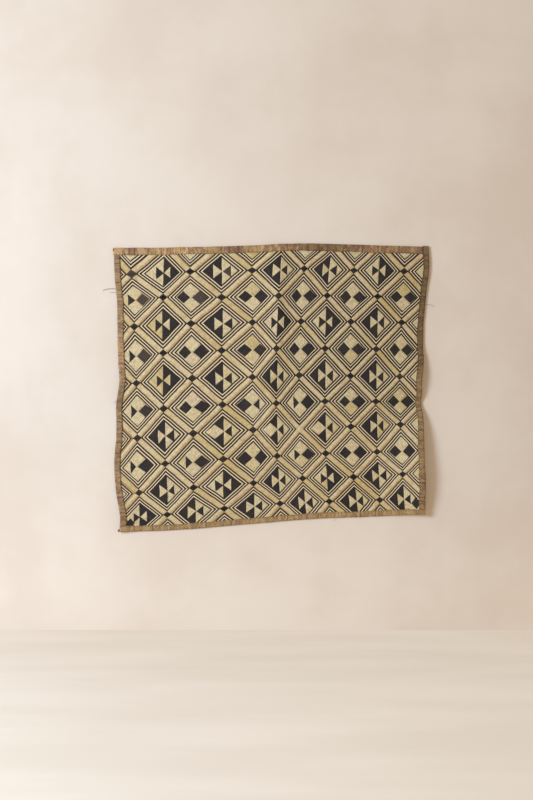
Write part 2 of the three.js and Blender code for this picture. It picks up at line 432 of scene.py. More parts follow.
def trim(bm, inset):
    """Cuts a flat piece off at that distance inside the cloth's edges, and closes the cuts."""
    low = (inset + FARTHER_LEFT, inset - FLAT_HEIGHT)
    high = (FLAT_WIDTH - inset, -inset - FARTHER_TOP)
    planes = [
        ((low[0], 0, 0), (-1, 0, 0)),
        ((high[0], 0, 0), (1, 0, 0)),
        ((0, low[1], 0), (0, -1, 0)),
        ((0, high[1], 0), (0, 1, 0)),
    ]
    for place, outward in planes:
        everything = bm.verts[:] + bm.edges[:] + bm.faces[:]
        cut = bmesh.ops.bisect_plane(
            bm, geom=everything, dist=1e-4, plane_co=place, plane_no=outward, clear_outer=True
        )
        rims = [g for g in cut["geom_cut"] if isinstance(g, bmesh.types.BMEdge) and g.is_boundary]
        bmesh.ops.holes_fill(bm, edges=rims, sides=0)


def finished_piece(name, mesh, material):
    """The object of a finished mesh, riding on the cloth."""
    mesh.polygons.foreach_set("use_smooth", np.ones(len(mesh.polygons), bool))
    mesh.materials.append(material)
    piece = bpy.data.objects.new(name, mesh)
    bpy.context.scene.collection.objects.link(piece)
    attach(piece, "root")
    return piece


def hang_embroidery(name, bm, diagonal, inset):
    """Takes a piece made flat in the lattice to its place on the cloth as it hangs."""
    mesh = bpy.data.meshes.new(name)
    bm.to_mesh(mesh)
    bm.free()
    map_stitches(mesh, diagonal)
    points = mesh_points(mesh)
    x, z = lattice_place(points[:, 0] / PITCH, -points[:, 1] / PITCH)
    across, down = shares_of(x, z)
    flat = np.column_stack([across * FLAT_WIDTH, -down * FLAT_HEIGHT, points[:, 2]])
    set_mesh_points(mesh, flat)
    bm = bmesh.new()
    bm.from_mesh(mesh)
    trim(bm, inset)
    bm.to_mesh(mesh)
    bm.free()
    flat = mesh_points(mesh)
    hung = cloth_point(flat[:, 0] / FLAT_WIDTH, -flat[:, 1] / FLAT_HEIGHT, flat[:, 2])
    set_mesh_points(mesh, hung * METRES)
    return mesh


# The embroidery's heights out from the cloth's middle layer
SEWN_FROM = 0.1
GROUND_FACE = 0.3
GROUND_BACK = -0.45
DARK_LINE_TOP = 0.92
LIGHT_LINE_TOP = 0.88
BAND_TOP = 0.9
LIGHT_BED_TOP = 0.66
PILE_TOP = 0.94
INSET_PILE_TOP = 1.06

# Rings round a diamond's centre, from and to, as shares of the way to its neighbours' seam. The
# dark ones have a tint too, from black-brown at 0 to red-brown at 1.
DARK_RINGS = [(0.79, 0.872, 0.7), (0.664, 0.75, 0.0), (0.541, 0.62, 0.4)]
LIGHT_RINGS = [(0.742, 0.798), (0.612, 0.672)]

# The dark rings are bolder in the upper right: wider, and higher by this much
BOLD_DARK_RINGS = [(0.79, 0.904, 0.5), (0.658, 0.752, 0.0), (0.541, 0.626, 0.1)]
BOLD_RISE = 0.05
BOLD_FIRST_COLUMN = 6
BOLD_LAST_ROW = 5

# The diamonds that the bottom edge cuts through have no pile, but more rings inside the others
CUT_ROW = 10
NESTED_DARK_RINGS = [(0.44, 0.5, 0.3), (0.32, 0.38, 0.4)]
NESTED_LIGHT_RINGS = [(0.5, 0.558), (0.38, 0.44)]

# A ring's section: how far its shoulders are below its top, and where they and its crown begin,
# as shares of its width
SHOULDER_DROP = 0.3
SHOULDER_FROM = 0.02
CROWN_FROM = 0.26

# A ring's sides are cut into steps of about this length. Its other edges are all shorter than
# the least side.
LINE_STEP = 4.4
LEAST_SIDE = 8

# How far the fillings and the light bed under them reach, as shares of the same way, and the
# fillings' reach in millimetres, for the large diamonds and for the small ones
MOTIF_REACH = 0.556
BED_REACH = 0.575
LARGE_REACH = MOTIF_REACH * PITCH
SMALL_REACH = LARGE_REACH / 2
LARGE_CELLS = 12
SMALL_CELLS = 8
CROSSING_CELLS = 4
PAD_RIM = 0.55

# The hatched bands: where they begin, their stitches, and how the stitches rise, dip and lean
BAND_FROM = 0.862
BAND_RIBS = 31
RIB_CREST = 0.05
RIB_DIP = -0.09
BAND_LEAN = 0.45

# The diamonds' fillings by row, from the left. R and L have their right or left half dark, and in
# each half a small triangle of the other colour that points at the centre. B has a small dark
# diamond on the left and on the right. C and D are B with one of them half dark, E is L with no
# light triangle but a light corner, and a stop is a light diamond.
CHART = {
    -1: (1, "......"),
    0: (0, ".RLLLR."),
    1: (1, "CBBBBB"),
    2: (0, ".RLRRL."),
    3: (1, "CBBBBB"),
    4: (0, ".RLLLL."),
    5: (1, "CBDCBB"),
    6: (0, ".LEEEL."),
    7: (1, "CCBCBB"),
    8: (0, ".LRLRL."),
    9: (1, "RLLLLL"),
    10: (0, "......."),
}

# The dark small diamonds of the fillings B, C and D, and which part of each is dark
SMALL_DIAMONDS = {
    "B": {"left": "whole", "right": "whole"},
    "C": {"left": "right", "right": "whole"},
    "D": {"left": "whole", "right": "left"},
}
TOWARD = {"left": -1, "right": 1}
OTHER_SIDE = {"left": "right", "right": "left"}

# How far right of their diamonds' centres the fillings sit, and how far below
OFF_CENTRE = {"R": -0.6, "L": 1.6, "E": 0.8, "B": 0.3}
BELOW_CENTRE = 0.4

# The scales of the fillings' dark and light halves
DARK_HALF = (1.035, 1.035)
LIGHT_HALF = (0.975, 0.975)

# Small diamonds whose dark pile has faded, by column, row and place
FADED = {
    (1, 1, "right"): 0.9, (3, 1, "right"): 0.85, (4, 0, "right"): 0.9, (1, 3, "right"): 0.7,
    (2, 4, "left"): 0.3, (5, 3, "right"): 0.3, (1, 5, "right"): 0.4,
}

# The dark crossings: their least and largest half widths and half heights, as shares of the
# lattice's step, how far past them their ears reach left and right and the ears' half heights,
# one crossing that is missing, and a big one that is worn
CROSSING_WIDTHS = (0.158, 0.184)
CROSSING_HEIGHTS = (0.122, 0.148)
EAR_REACH = 0.06
EAR_HEIGHTS = (0.045, 0.06)
MISSING_CROSSING = (7, 6)
BIG_CROSSING = (1, 0)
BIG_CROSSING_SIZE = (0.215, 0.165)
BIG_CROSSING_SHADE = 0.8

# Two small dark pads beside the fillings in the bottom corners: column, row and scale
STRAY_PADS = [(0.63, 9.22, (0.64, 0.8)), (11.52, 9.18, (0.78, 0.86))]

# Light pile that takes the place of the lines at the lower right diamond's lost corner
CORNER_PATCH = (11.42, 9.27, (1.32, 1.26))


def diamonds():
    """Column, row and filling of every diamond."""
    for row, (first, fillings) in CHART.items():
        for i, filling in enumerate(fillings):
            yield first + 2 * i, row, filling


def crossings():
    """Column and row of every dark crossing."""
    for row in range(-1, 11):
        for column in range(0, 13):
            if (column + row) % 2:
                yield column, row


def ring_scale(column, row):
    """The rings of the diamonds that the left, top and bottom edges cut are a little smaller."""
    if column == 0:
        return 0.95 if row < 5 else 0.89
    return 0.96 if row in (-1, CUT_ROW) else 1.0


def new_bmesh():
    """An empty mesh whose points can carry a tint and a side."""
    bm = bmesh.new()
    bm.verts.layers.float.new("tint")
    bm.verts.layers.float.new("side")
    return bm


def shape_mesh(name, bm):
    bmesh.ops.recalc_face_normals(bm, faces=bm.faces)
    mesh = bpy.data.meshes.new(name)
    bm.to_mesh(mesh)
    bm.free()
    return mesh


def stamp(bm, shape, x, y, tint=0.0, scale=(1.0, 1.0), turn=0.0):
    """Adds a copy of a small shape at a place of the flat lattice."""
    first = len(bm.verts)
    bm.from_mesh(shape)
    bm.verts.ensure_lookup_table()
    layer = bm.verts.layers.float["tint"]
    cos = math.cos(turn)
    sin = math.sin(turn)
    for vert in bm.verts[first:]:
        sx = vert.co.x * scale[0]
        sy = vert.co.y * scale[1]
        vert.co.x = x + sx * cos - sy * sin
        vert.co.y = y + sx * sin + sy * cos
        vert[layer] = tint


def ring_shape(inner, outer, top):
    """A raised line round a diamond: its section spun round the centre in four steps."""
    bm = bmesh.new()
    low = inner * PITCH
    high = outer * PITCH
    width = high - low
    shoulder = top - SHOULDER_DROP
    section = [
        (low, SEWN_FROM),
        (low + SHOULDER_FROM * width, shoulder),
        (low + CROWN_FROM * width, top),
        (high - CROWN_FROM * width, top),
        (high - SHOULDER_FROM * width, shoulder),
        (high, SEWN_FROM),
    ]
    corners = [bm.verts.new((out, 0, height)) for out, height in section]
    edges = [bm.edges.new((corners[i - 1], corners[i])) for i in range(len(corners))]
    bmesh.ops.spin(
        bm, geom=corners + edges, cent=(0, 0, 0), axis=(0, 0, 1), angle=2 * math.pi, steps=4,
        use_merge=True,
    )
    sides = [e for e in bm.edges if e.calc_length() > LEAST_SIDE]
    mean_side = math.sqrt(2) * (low + high) / 2
    cuts = round(mean_side / LINE_STEP) - 1
    bmesh.ops.subdivide_edges(bm, edges=sides, cuts=cuts, use_grid_fill=True)
    return shape_mesh("ring_shape", bm)


def raise_pad(bm, top, drop):
    """Makes a flat patch into a closed pad, its rim lower than its top by the drop."""
    bmesh.ops.translate(bm, verts=bm.verts, vec=(0, 0, SEWN_FROM))
    verts, faces = extruded(bm, bm.faces[:])
    bmesh.ops.translate(bm, verts=verts, vec=(0, 0, top - SEWN_FROM))
    bmesh.ops.inset_region(
        bm, faces=faces, thickness=PAD_RIM, use_boundary=True, use_even_offset=True
    )
    for vert in bm.verts:
        on_top = vert.co.z > top - 0.01
        if on_top and any(e.other_vert(vert).co.z < top - 0.3 for e in vert.link_edges):
            vert.co.z -= drop


def pad_shape(half_diagonal, cells, part, top, cut=0.0, drop=0.28):
    """A pad of pile: a diamond, or what is left or right of a cut through it."""
    bm = bmesh.new()
    side = half_diagonal / math.sqrt(2)
    bmesh.ops.create_grid(bm, x_segments=cells, y_segments=cells, size=side)
    on_its_corner = Matrix.Rotation(math.pi / 4, 3, "Z")
    bmesh.ops.rotate(bm, verts=bm.verts, cent=(0, 0, 0), matrix=on_its_corner)
    if part != "whole":
        outward = (1, 0, 0) if part == "left" else (-1, 0, 0)
        everything = bm.verts[:] + bm.edges[:] + bm.faces[:]
        bmesh.ops.bisect_plane(
            bm, geom=everything, dist=1e-3, plane_co=(cut, 0, 0), plane_no=outward, clear_outer=True
        )
    raise_pad(bm, top, drop)
    return shape_mesh("pad_shape", bm)


def band_shape(seed):
    """A hatched band along one seam, lying along x: two rows of short stitches across it."""
    length = PITCH * math.sqrt(2) - (1 - BAND_FROM) * PITCH * math.sqrt(2)
    half_width = (1 - BAND_FROM) * PITCH / math.sqrt(2) - 0.1
    cells = 2 * BAND_RIBS
    bm = new_bmesh()
    bmesh.ops.create_grid(bm, x_segments=cells, y_segments=4, size=1)
    bmesh.ops.scale(bm, verts=bm.verts, vec=(length / 2, half_width, 1))
    bmesh.ops.translate(bm, verts=bm.verts, vec=(0, 0, SEWN_FROM))
    raised, _ = extruded(bm, bm.faces[:])
    random = np.random.default_rng(seed)
    rib_rise = random.uniform(-0.06, 0.06, cells + 1)
    rib_end = random.uniform(-0.3, 0.25, (cells + 1, 2))
    step = length / cells
    rows = [-1, -0.88, 0, 0.88, 1]
    crown = [-0.22, 0.02, -0.05, 0.02, -0.22]
    side = bm.verts.layers.float["side"]
    for vert in raised:
        number = round((vert.co.x + length / 2) / step)
        across = round((vert.co.y / half_width + 1) * 2)
        ridge = RIB_CREST if number % 2 else RIB_DIP
        vert.co.z = BAND_TOP + crown[across] + ridge + rib_rise[number]
    for vert in bm.verts:
        number = round((vert.co.x + length / 2) / step)
        across = round((vert.co.y / half_width + 1) * 2)
        vert[side] = rows[across]
        vert.co.y = rows[across] * half_width
        if across in (0, 4):
            vert.co.y += rib_end[number, across // 4] * rows[across]
        vert.co.x += BAND_LEAN * rows[across]
    return shape_mesh("band_shape", bm)


def tinted_rings(rings, top):
    return [(ring_shape(inner, outer, top), tint) for inner, outer, tint in rings]


def dark_lines():
    """The dark stitched lines round each diamond."""
    random = np.random.default_rng(31)
    full = tinted_rings(DARK_RINGS, DARK_LINE_TOP)
    bold = tinted_rings(BOLD_DARK_RINGS, DARK_LINE_TOP + BOLD_RISE)
    nested = tinted_rings(NESTED_DARK_RINGS, DARK_LINE_TOP)
    bm = new_bmesh()
    for column, row, _ in diamonds():
        rings = bold if column >= BOLD_FIRST_COLUMN and row <= BOLD_LAST_ROW else full
        for shape, tint in rings + (nested if row == CUT_ROW else []):
            size = ring_scale(column, row) * random.uniform(0.99, 1.01)
            shade = tint + random.uniform(-0.25, 0.25)
            stamp(bm, shape, *node_place(column, row), shade, (size, size))
    return hang_embroidery("dark_lines", bm, True, EMBROIDERY_INSET)


def light_lines():
    """The light stitched lines between the dark ones."""
    random = np.random.default_rng(32)
    full = [ring_shape(inner, outer, LIGHT_LINE_TOP) for inner, outer in LIGHT_RINGS]
    nested = [ring_shape(inner, outer, LIGHT_LINE_TOP) for inner, outer in NESTED_LIGHT_RINGS]
    bm = new_bmesh()
    for column, row, _ in diamonds():
        size = ring_scale(column, row)
        for shape in full + (nested if row == CUT_ROW else []):
            shade = random.uniform(-0.8, 0.5)
            stamp(bm, shape, *node_place(column, row), shade, (size, size))
    return hang_embroidery("light_lines", bm, True, EMBROIDERY_INSET)


def hatched_bands():
    """The light bands along the seams, from crossing to crossing."""
    random = np.random.default_rng(33)
    shapes = [band_shape(seed) for seed in (41, 42, 43, 44)]
    bm = new_bmesh()
    for row in range(-1, 10):
        for column in range(0, 12):
            rising = (column + row) % 2 == 0
            turn = math.pi / 4 if rising else -math.pi / 4
            shape = shapes[random.integers(len(shapes))]
            # The rising bands are cream above and tan below, partly painted shade on their lower side
            # and partly their two rows of stitches; the falling ones are golden all over
            shade = random.uniform(-0.9, -0.1) if rising else random.uniform(0.1, 1.0)
            stamp(bm, shape, *node_place(column + 0.5, row + 0.5), shade, turn=turn)
    return hang_embroidery("hatched_bands", bm, True, EMBROIDERY_INSET)


def pads_of(colour):
    """The pads of the fillings in one colour, as (size and part, x, y, tint, scale)."""
    random = np.random.default_rng(34)
    step = SMALL_REACH
    for column, row, filling in diamonds():
        middle, level = node_place(column, row)
        x = middle + OFF_CENTRE.get(filling, 0) + random.uniform(-0.9, 0.9)
        y = level - BELOW_CENTRE + random.uniform(-0.8, 0.8)
        shades = random.uniform(-1, 1, 4)
        sizes = random.uniform(0, 1, 4)
        if filling in SMALL_DIAMONDS:
            for i, (place, part) in enumerate(SMALL_DIAMONDS[filling].items()):
                size = (0.8 + 0.14 * sizes[i] + 0.06 * i, 0.8 + 0.14 * sizes[i + 2])
                reach = step * size[0] + 0.9 + 0.9 * sizes[i + 2]
                worn = FADED.get((column, row, place), 0.15 * max(shades[i], 0))
                if colour == "dark":
                    yield ("small", part), x + TOWARD[place] * reach, y, worn, size
            if colour == "light":
                for i, up in enumerate((1, -1)):
                    yield ("small", "whole"), x, y + up * step, shades[i + 2], (0.98, 0.96)
        elif filling in "RLE":
            dark_side = "right" if filling == "R" else "left"
            light_side = OTHER_SIDE[dark_side]
            inset = (0.98 + 0.1 * sizes[0], 0.84 + 0.12 * sizes[1])
            facing = (0.84 + 0.2 * sizes[2], 0.74 + 0.14 * sizes[3])
            if filling == "R":
                inset = (0.84 + 0.08 * sizes[0], 0.7 + 0.16 * sizes[1])
            worn = FADED.get((column, row, light_side), 0.15 * max(shades[0], 0))
            worn_half = 0.12 * max(shades[1], 0)
            cut = round(x - middle, 2)
            # The insets of R join the dark half and those of L the light half
            apart = (-0.9, 1.0) if filling == "R" else (1.1, -0.7)
            if colour == "dark":
                outer = TOWARD[light_side] * (step * facing[0] + apart[0])
                yield ("large", dark_side, cut), middle, level, worn_half, DARK_HALF
                yield ("inset", dark_side), x + outer, y - 0.6, worn, facing
            else:
                outer = TOWARD[dark_side] * (step * inset[0] + apart[1])
                yield ("large", light_side, cut), middle, level, shades[2], LIGHT_HALF
                if filling == "E":
                    corner = x + TOWARD[dark_side] * step * 1.06
                    yield ("small", "whole"), corner, y, shades[1], (1.12, 0.94)
                else:
                    yield ("inset", light_side), x + outer, y, shades[3], inset


def stamp_pads(bm, colour):
    """Stamps the fillings' pads in one colour."""
    shapes = {}
    for kind, x, y, shade, scale in pads_of(colour):
        size, part, *cut = kind
        if kind not in shapes and size == "large":
            shapes[kind] = pad_shape(LARGE_REACH, LARGE_CELLS, part, PILE_TOP, cut[0])
        elif kind not in shapes:
            shapes[kind] = pad_shape(SMALL_REACH, SMALL_CELLS, part, INSET_PILE_TOP, drop=0.1)
        stamp(bm, shapes[kind], x, y, shade, scale)


def dark_pile():
    """The dark cut pile: the fillings' dark parts, and the crossings with their ears."""
    bm = new_bmesh()
    stamp_pads(bm, "dark")
    stray = pad_shape(SMALL_REACH, SMALL_CELLS, "whole", INSET_PILE_TOP, drop=0.08)
    for column, row, scale in STRAY_PADS:
        stamp(bm, stray, *node_place(column, row), 0.0, scale)
    random = np.random.default_rng(35)
    crossing = pad_shape(PITCH, CROSSING_CELLS, "whole", INSET_PILE_TOP - 0.06)
    for column, row in crossings():
        if (column, row) == MISSING_CROSSING:
            continue
        size = (random.uniform(*CROSSING_WIDTHS), random.uniform(*CROSSING_HEIGHTS))
        shade = random.uniform(0, 0.25)
        if (column, row) == BIG_CROSSING:
            size = BIG_CROSSING_SIZE
            shade = BIG_CROSSING_SHADE
        stamp(bm, crossing, *node_place(column, row), shade, size)
        ears = (size[0] + EAR_REACH, random.uniform(*EAR_HEIGHTS))
        stamp(bm, crossing, *node_place(column, row), shade, ears)
    return hang_embroidery("dark_pile", bm, False, EMBROIDERY_INSET)


def light_pile():
    """The light cut pile: a low bed under each filling, and the fillings' light parts."""
    random = np.random.default_rng(36)
    bed = pad_shape(BED_REACH * PITCH, LARGE_CELLS, "whole", LIGHT_BED_TOP)
    tall_bed = pad_shape(BED_REACH * PITCH, LARGE_CELLS, "whole", PILE_TOP - 0.06)
    bm = new_bmesh()
    for column, row, filling in diamonds():
        if row == CUT_ROW:
            continue
        size = ring_scale(column, row)
        shape = tall_bed if filling == "." else bed
        shade = random.uniform(-1, 1)
        stamp(bm, shape, *node_place(column, row), shade, (size, size))
    stamp_pads(bm, "light")
    plain = pad_shape(0.14 * PITCH, CROSSING_CELLS, "whole", PILE_TOP)
    stamp(bm, plain, *node_place(*MISSING_CROSSING), 0.3)
    column, row, scale = CORNER_PATCH
    patch = pad_shape(SMALL_REACH, SMALL_CELLS, "whole", INSET_PILE_TOP - 0.06, drop=0.08)
    stamp(bm, patch, *node_place(column, row), 0.2, scale)
    return hang_embroidery("light_pile", bm, False, EMBROIDERY_INSET)


def ground_cloth():
    """The woven raffia ground, one closed sheet that all the embroidery is sewn through."""
    bm = new_bmesh()
    columns = 13.4
    rows = 12.4
    cells = 10
    bmesh.ops.create_grid(
        bm, x_segments=round(columns * cells), y_segments=round(rows * cells), size=1
    )
    size = (columns * PITCH / 2, rows * PITCH / 2, 1)
    bmesh.ops.scale(bm, verts=bm.verts, vec=size)
    bmesh.ops.translate(bm, verts=bm.verts, vec=(*node_place(6, 4.6), GROUND_BACK))
    face, _ = extruded(bm, bm.faces[:])
    bmesh.ops.translate(bm, verts=face, vec=(0, 0, GROUND_FACE - GROUND_BACK))
    bmesh.ops.recalc_face_normals(bm, faces=bm.faces)
    return hang_embroidery("ground_cloth", bm, False, GROUND_INSET)


# The strips: their visible widths, and their fold round the cloth's edge
STRIP_WIDTHS = {"top": 14.5, "right": 11.5, "bottom": 11, "left": 12}
STRIP_THICKNESS = 0.78
FOLD_CENTRE = 2.15
FOLD_RADIUS = 1.6
STRIP_STEP = 2.2
CELLS_AROUND = 20

# The gap between a strip's end and the strip it meets, and how much more each strip leaves free
# at its start and at its end
END_GAP = 0.35
LEFT_FREE = {"top": (0.0, 1.5), "bottom": (2.2, 1.6), "left": (0.5, 1.2), "right": (1.4, 1.2)}

# How far a flap's edge and the fold wander in and out, how high a flap's face puckers at random
# and at its stitches, and how long those bends are
FLAP_WANDER = 0.75
FLAP_BEND_LENGTH = 9
FOLD_WANDER = 0.28
FOLD_BEND_LENGTH = 14
PUCKER = 0.16
PUCKER_LENGTH = 5
STITCH_PUCKER = 0.1


def strip_ends(side):
    """Where a strip starts and ends along its edge, in flat millimetres."""
    at_start, at_end = LEFT_FREE[side]
    if side == "top":
        return at_start, FLAT_WIDTH - STRIP_WIDTHS["right"] - END_GAP - at_end
    if side == "bottom":
        return at_start, FLAT_WIDTH - at_end
    above_bottom = FLAT_HEIGHT - STRIP_WIDTHS["bottom"] - END_GAP
    if side == "left":
        return STRIP_WIDTHS["top"] + END_GAP + at_start, above_bottom - at_end
    return at_start, above_bottom - at_end


def on_side(side, along, inset):
    """The shares across and down of a place along one edge and inset from it."""
    if side in ("top", "bottom"):
        across = along / FLAT_WIDTH
        from_edge = (inset + DRAWN_IN[side](across)) / height_at(across)
        return across, from_edge if side == "top" else 1 - from_edge
    down = along / FLAT_HEIGHT
    from_edge = (inset + DRAWN_IN[side](down)) / width_at(down)
    return (from_edge if side == "left" else 1 - from_edge), down


def strip_mesh(side, seed):
    """A plain strip folded round one edge, its inner edges and its fold a little uneven."""
    width = STRIP_WIDTHS[side]
    start, end = strip_ends(side)
    flap = width - FOLD_CENTRE
    arc = math.pi * FOLD_RADIUS
    girth = 2 * flap + arc
    cells_along = round((end - start) / STRIP_STEP)
    bm = bmesh.new()
    bmesh.ops.create_grid(bm, x_segments=cells_along, y_segments=CELLS_AROUND, size=0.5)
    bmesh.ops.translate(bm, verts=bm.verts, vec=(0.5, 0.5, -0.5))
    outside, _ = extruded(bm, bm.faces[:])
    bmesh.ops.translate(bm, verts=outside, vec=(0, 0, 1))
    mesh = bpy.data.meshes.new("binding_" + side)
    bm.to_mesh(mesh)
    bm.free()
    unit = mesh_points(mesh)
    along = start + (end - start) * unit[:, 0]
    around = girth * unit[:, 1]
    offset = STRIP_THICKNESS * unit[:, 2]
    corners = corner_points(mesh)
    add_stitch_map(mesh, along[corners], around[corners])
    turn = math.pi * np.clip((around - flap) / arc, 0, 1)
    past_fold = np.maximum(0, around - flap - arc)
    before_fold = np.maximum(0, flap - around)
    radius = FOLD_RADIUS + offset
    inset = FOLD_CENTRE - radius * np.sin(turn) + before_fold + past_fold
    height = radius * np.cos(turn)
    # The flap's edge wanders, its face puckers at the stitches, and the fold is uneven
    reach = np.clip(before_fold / flap, 0, 1)
    inset += reach * FLAP_WANDER * smooth_noise(along, 0 * along, FLAP_BEND_LENGTH, seed)
    fold_bends = smooth_noise(along, 0 * along, FOLD_BEND_LENGTH, seed + 1)
    inset += FOLD_WANDER * (1 - reach) * fold_bends
    front = np.sin(math.pi * np.clip(around / flap, 0, 1)) * (around < flap)
    height += front * PUCKER * smooth_noise(along, around, PUCKER_LENGTH, seed + 2)
    height += front * STITCH_PUCKER * np.cos(2 * math.pi * along / STITCH_PITCH)
    across, down = on_side(side, along, inset)
    set_mesh_points(mesh, cloth_point(across, down, height) * METRES)
    return face_outward(mesh)


# The running stitches that hold the strips. The inset is from a strip's inner edge, and the first
# stitch and the spare length keep them off a strip's ends.
STITCH_PITCH = 7.4
STITCH_LENGTH = 3.4
STITCH_HALF_SIZE = (STITCH_LENGTH / 2, 0.42, 0.3)
STITCH_HEIGHT = 2.0
STITCH_INSET = 1.7
FIRST_STITCH = 5
SPARE_LENGTH = 6


def binding_stitches():
    """Short stitches along the strips' inner edges, front and back."""
    bm = bmesh.new()
    bmesh.ops.create_icosphere(bm, subdivisions=2, radius=1)
    bmesh.ops.scale(bm, verts=bm.verts, vec=STITCH_HALF_SIZE)
    shape = shape_mesh("stitch_shape", bm)
    random = np.random.default_rng(51)
    bm = new_bmesh()
    parts = []
    for side, width in STRIP_WIDTHS.items():
        start, end = strip_ends(side)
        for number in range(int((end - start - SPARE_LENGTH) / STITCH_PITCH)):
            for face in (1, -1):
                along = start + FIRST_STITCH + number * STITCH_PITCH + random.uniform(-0.8, 0.8)
                inset = width - STITCH_INSET + random.uniform(-0.4, 0.4)
                first = len(bm.verts)
                stamp(bm, shape, 0, 0, random.uniform(-1, 1), turn=random.uniform(-0.25, 0.25))
                parts.append((side, along, inset, face, first, len(bm.verts)))
    mesh = bpy.data.meshes.new("binding_stitches")
    bm.to_mesh(mesh)
    bm.free()
    points = mesh_points(mesh)
    for side, along, inset, face, first, last in parts:
        own = points[first:last]
        across, down = on_side(side, along + own[:, 0], inset + own[:, 1])
        points[first:last] = cloth_point(across, down, face * (STITCH_HEIGHT + own[:, 2]))
    set_mesh_points(mesh, points * METRES)
    return face_outward(mesh)


# Fibres that hang loose at the side edges, as x, y and z along each, and their thickness
LOOSE_FIBRES = [
    ([(-297, -3.6, -87.2), (-303, -4.2, -86.6), (-309, -4.0, -86.2), (-316, -3.2, -87.0),
      (-322, -2.4, -88.4), (-325.5, -1.6, -90.6)], 0.34),
    ([(-298, -3.4, -93.4), (-303, -3.8, -94.0), (-308, -3.0, -93.2), (-313, -2.0, -94.6)], 0.2),
    ([(294, -3.8, -116.5), (299, -3.4, -117.4), (304, -3.0, -117.0), (309, -2.4, -118.6),
      (313, -1.6, -121.4)], 0.2),
    ([(286, -9.0, -262), (290, -8.6, -263.4), (293.5, -7.4, -266)], 0.18),
    ([(-296, -4.0, -300), (-301.5, -3.4, -303), (-305, -2.6, -307.5)], 0.18),
    ([(120, -4.2, -521), (121.5, -3.6, -528), (120.6, -2.6, -533.5)], 0.18),
]

# The rolled ends of the top and bottom strips: their middles, half sizes and shades
ROLLED_ENDS = [
    ((-304.2, -4.4, -11.7), (1.5, 1.7, 2.5), 0.7),
    ((-293.0, -6.2, -552.4), (2.9, 2.0, 2.7), 0.0),
]


def loose_fibres():
    """Loose fibres at the edges, each a thin tube drawn out step by step, and the rolled ends."""
    bm = new_bmesh()
    for path, radius in LOOSE_FIBRES:
        points = [Vector(point) for point in path]
        turn = (points[1] - points[0]).to_track_quat("Z", "Y").to_matrix().to_4x4()
        start = Matrix.Translation(points[0]) @ turn
        root = bmesh.ops.create_circle(
            bm, cap_ends=True, segments=6, radius=radius, matrix=start
        )["verts"]
        tip = [root[0].link_faces[0]]
        for i in range(1, len(points)):
            grown, tip = extruded(bm, tip, keep=i == 1)
            bmesh.ops.translate(bm, verts=grown, vec=points[i] - points[i - 1])
    tint = bm.verts.layers.float["tint"]
    for middle, half, shade in ROLLED_ENDS:
        place = Matrix.Translation(middle) @ Matrix.Diagonal((*half, 1))
        ball = bmesh.ops.create_icosphere(bm, subdivisions=3, radius=1, matrix=place)["verts"]
        for vert in ball:
            vert[tint] = shade
    bmesh.ops.recalc_face_normals(bm, faces=bm.faces)
    mesh = bpy.data.meshes.new("loose_fibres")
    bm.to_mesh(mesh)
    bm.free()
    set_mesh_points(mesh, mesh_points(mesh) * METRES)
    return mesh


class Level:
    """A number that varies over a surface. Arithmetic on it adds Math nodes."""

    def __init__(self, finish, socket):
        self.finish = finish
        self.socket = socket

    def math(self, operation, *values):
        sockets = {i: value for i, value in enumerate(values)}
        node = self.finish.node("ShaderNodeMath", {"operation": operation}, sockets)
        return Level(self.finish, node.outputs[0])

    def __add__(self, other):
        return self.math("ADD", self, other)

    def __radd__(self, other):
        return self.math("ADD", other, self)

    def __sub__(self, other):
        return self.math("SUBTRACT", self, other)

    def __rsub__(self, other):
        return self.math("SUBTRACT", other, self)

    def __mul__(self, other):
        return self.math("MULTIPLY", self, other)

    def __rmul__(self, other):
        return self.math("MULTIPLY", other, self)

    def __truediv__(self, other):
        return self.math("DIVIDE", self, other)

    def sine(self):
        return self.math("SINE", self)

    def size(self):
        return self.math("ABSOLUTE", self)

    def fraction(self):
        return self.math("FRACT", self)

    def at_least(self, other):
        return self.math("MAXIMUM", self, other)

    def above(self, threshold):
        return self.math("GREATER_THAN", self, threshold)

    def step(self, low, high):
        """Rises smoothly from 0 to 1 between two values."""
        node = self.finish.node(
            "ShaderNodeMapRange",
            {"interpolation_type": "SMOOTHSTEP"},
            {"Value": self, "From Min": low, "From Max": high},
        )
        return Level(self.finish, node.outputs["Result"])


